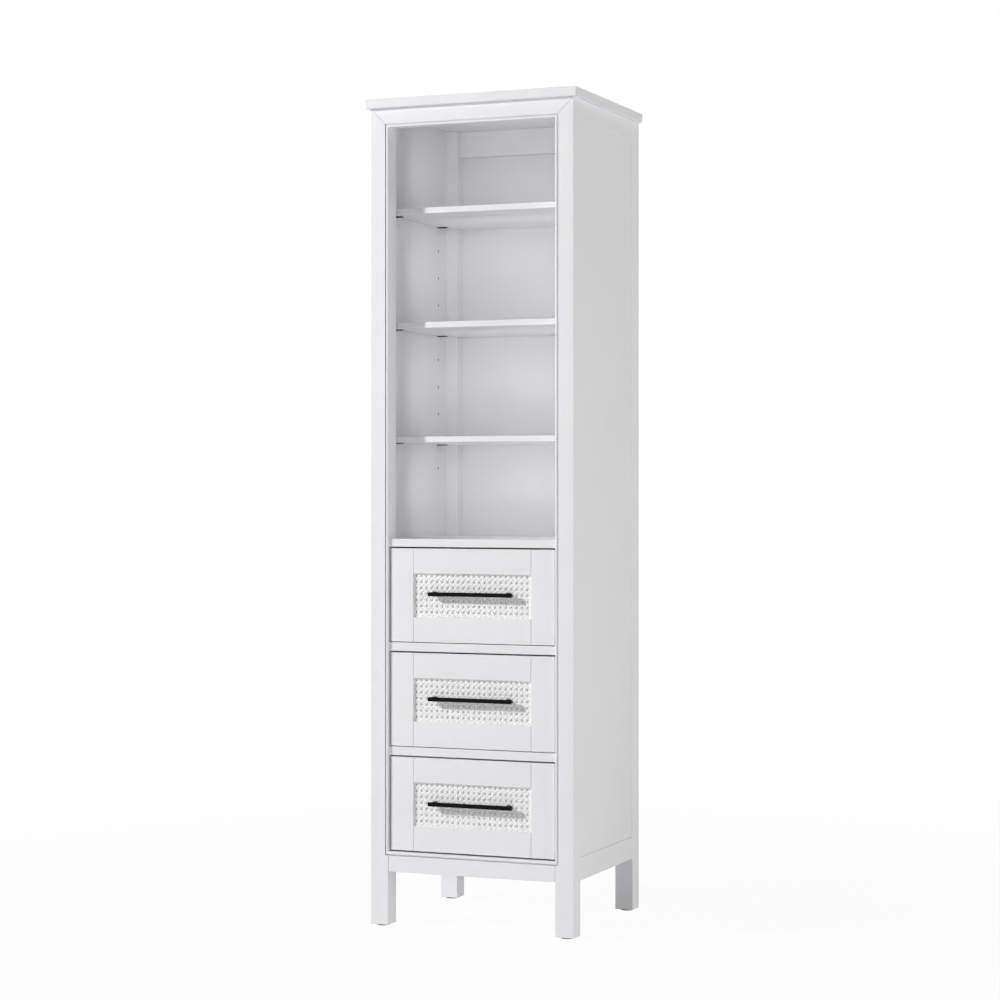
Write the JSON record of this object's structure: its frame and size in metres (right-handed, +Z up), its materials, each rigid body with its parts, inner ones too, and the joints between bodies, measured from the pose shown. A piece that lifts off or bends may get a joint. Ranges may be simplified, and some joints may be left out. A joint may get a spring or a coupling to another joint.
{
  "type": "bathroom cabinet",
  "caption": "Tall white bathroom cabinet: an open bay of adjustable shelves over cane-fronted drawers with black bar pulls, on square corner posts.",
  "frame": {"origin": "on the floor, under the middle of the cabinet's bounding box", "axes": "+Z up, +X to the right as seen from the front, +Y from the drawer fronts to the wall"},
  "size_m": [0.457, 0.3996, 1.676],
  "materials": {
    "white_paint": "satin white paint on board",
    "white_cane": "white painted cane webbing",
    "birch_ply": "clear lacquered birch plywood",
    "black_metal": "matt black powder coat",
    "zinc_steel": "zinc plated",
    "glide_plastic": "moulded"
  },
  "bodies": {
    "cabinet": {"back_panel": "white_paint", "back_rail_lower": "white_paint", "back_rail_upper": "white_paint", "bottom_panel": "white_paint", "deck_panel": "white_paint", "divider_rail_lower": "white_paint", "divider_rail_upper": "white_paint", "face_rail": "white_paint", "foot_glides": "glide_plastic", "front_apron": "white_paint", "leg_front_left": "white_paint", "leg_front_right": "white_paint", "leg_rear_left": "white_paint", "leg_rear_right": "white_paint", "opening_bead": "white_paint", "shelf_lower": "white_paint", "shelf_middle": "white_paint", "shelf_supports": "black_metal", "shelf_upper": "white_paint", "side_panel_left": "white_paint", "side_panel_right": "white_paint", "side_rails_lower": "white_paint", "side_rails_upper": "white_paint", "slide_cleats": "birch_ply", "slide_outer": "zinc_steel", "top_panel": "white_paint"},
    "drawer_lower": {"drawer_lower_box_back": "birch_ply", "drawer_lower_box_bottom": "birch_ply", "drawer_lower_box_front": "birch_ply", "drawer_lower_box_sides": "birch_ply", "drawer_lower_cane_panel": "white_cane", "drawer_lower_front_rails": "white_paint", "drawer_lower_front_stiles": "white_paint", "drawer_lower_pull": "black_metal", "drawer_lower_pull_screws": "zinc_steel", "drawer_lower_slide_inner": "zinc_steel"},
    "runners_lower": {"drawer_lower_slide_middle": "zinc_steel"},
    "drawer_middle": {"drawer_middle_box_back": "birch_ply", "drawer_middle_box_bottom": "birch_ply", "drawer_middle_box_front": "birch_ply", "drawer_middle_box_sides": "birch_ply", "drawer_middle_cane_panel": "white_cane", "drawer_middle_front_rails": "white_paint", "drawer_middle_front_stiles": "white_paint", "drawer_middle_pull": "black_metal", "drawer_middle_pull_screws": "zinc_steel", "drawer_middle_slide_inner": "zinc_steel"},
    "runners_middle": {"drawer_middle_slide_middle": "zinc_steel"},
    "drawer_upper": {"drawer_upper_box_back": "birch_ply", "drawer_upper_box_bottom": "birch_ply", "drawer_upper_box_front": "birch_ply", "drawer_upper_box_sides": "birch_ply", "drawer_upper_cane_panel": "white_cane", "drawer_upper_front_rails": "white_paint", "drawer_upper_front_stiles": "white_paint", "drawer_upper_pull": "black_metal", "drawer_upper_pull_screws": "zinc_steel", "drawer_upper_slide_inner": "zinc_steel"},
    "runners_upper": {"drawer_upper_slide_middle": "zinc_steel"}
  },
  "joints": [
    {"name": "drawer_lower_slide", "type": "slide", "parent": "cabinet", "child": "drawer_lower", "axis": [0, -1, 0], "range_m": [0, 0.35]},
    {"name": "runners_lower_slide", "type": "slide", "parent": "cabinet", "child": "runners_lower", "axis": [0, -1, 0], "range_m": [0, 0.175]},
    {"name": "drawer_middle_slide", "type": "slide", "parent": "cabinet", "child": "drawer_middle", "axis": [0, -1, 0], "range_m": [0, 0.35]},
    {"name": "runners_middle_slide", "type": "slide", "parent": "cabinet", "child": "runners_middle", "axis": [0, -1, 0], "range_m": [0, 0.175]},
    {"name": "drawer_upper_slide", "type": "slide", "parent": "cabinet", "child": "drawer_upper", "axis": [0, -1, 0], "range_m": [0, 0.35]},
    {"name": "runners_upper_slide", "type": "slide", "parent": "cabinet", "child": "runners_upper", "axis": [0, -1, 0], "range_m": [0, 0.175]}
  ],
  "couplings": [
    {"joint": "runners_lower_slide", "follows": "drawer_lower_slide", "ratio": 0.5},
    {"joint": "runners_middle_slide", "follows": "drawer_middle_slide", "ratio": 0.5},
    {"joint": "runners_upper_slide", "follows": "drawer_upper_slide", "ratio": 0.5}
  ]
}
